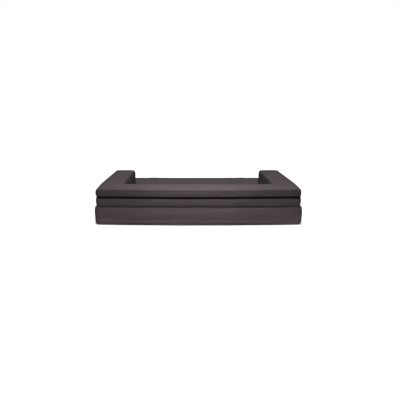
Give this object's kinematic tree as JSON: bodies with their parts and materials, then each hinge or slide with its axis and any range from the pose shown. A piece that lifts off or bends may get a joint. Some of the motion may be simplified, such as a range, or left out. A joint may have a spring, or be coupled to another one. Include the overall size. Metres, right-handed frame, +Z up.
{
  "type": "bolster bed",
  "caption": "Low rectangular foam bed in brown fabric: a thick sleeping base with a U-shaped, zip-covered bolster on its back and sides, open along the front.",
  "frame": {"origin": "on the floor under the middle of the bed's outer box", "axes": "+X along the bed, parallel to the back bolster; +Y towards the open entrance; +Z up"},
  "size_m": [1.2, 0.9, 0.21],
  "materials": {
    "cover_fabric": "matte",
    "bottom_fabric": "matte",
    "support_foam": "matte",
    "comfort_foam": "matte",
    "liner_film": "satin",
    "zip_tape": "matte",
    "zip_teeth": "satin",
    "zip_metal": "satin",
    "hook_loop": "matte"
  },
  "bodies": {
    "base": {"base_support_foam": "support_foam", "base_comfort_foam": "comfort_foam", "base_liner": "liner_film", "base_cover": "cover_fabric", "base_bottom_panel": "bottom_fabric", "base_hook_strips": "hook_loop", "base_zip_tape": "zip_tape", "base_zip_teeth": "zip_teeth", "base_zip_stops": "zip_metal"},
    "base_zip_slider": {"base_zip_slider": "zip_metal"},
    "base_zip_pull": {"base_zip_pull": "zip_metal"},
    "bolster": {"back_bolster_foam": "support_foam", "left_arm_foam": "support_foam", "right_arm_foam": "support_foam", "back_bolster_cover": "cover_fabric", "left_arm_cover": "cover_fabric", "right_arm_cover": "cover_fabric", "bolster_loop_strips": "hook_loop", "bolster_zip_upper_tape": "zip_tape", "bolster_zip_lower_tape": "zip_tape", "bolster_zip_upper_teeth": "zip_teeth", "bolster_zip_lower_teeth": "zip_teeth", "bolster_zip_upper_stops": "zip_metal", "bolster_zip_lower_stops": "zip_metal"},
    "bolster_zip_slider": {"bolster_zip_slider": "zip_metal"},
    "bolster_zip_pull": {"bolster_zip_pull": "zip_metal"}
  },
  "joints": [
    {"name": "bolster_lift", "type": "slide", "parent": "base", "child": "bolster", "axis": [0, 0, 1], "range_m": [0, 0.3]},
    {"name": "base_zip_slide", "type": "slide", "parent": "base", "child": "base_zip_slider", "axis": [-1, 0, 0], "range_m": [0, 1.02]},
    {"name": "base_zip_pull_swing", "type": "hinge", "parent": "base_zip_slider", "child": "base_zip_pull", "pos_m": [0.51, 0.44875, 0.03], "axis": [0, 0, -1], "range_deg": [0, 170]},
    {"name": "bolster_zip_slide", "type": "slide", "parent": "bolster", "child": "bolster_zip_slider", "axis": [0, -1, 0], "range_m": [0, 0.54]},
    {"name": "bolster_zip_pull_swing", "type": "hinge", "parent": "bolster_zip_slider", "child": "bolster_zip_pull", "pos_m": [0.5908, 0.174, 0.1602], "axis": [0, 0, 1], "range_deg": [0, 170]}
  ]
}
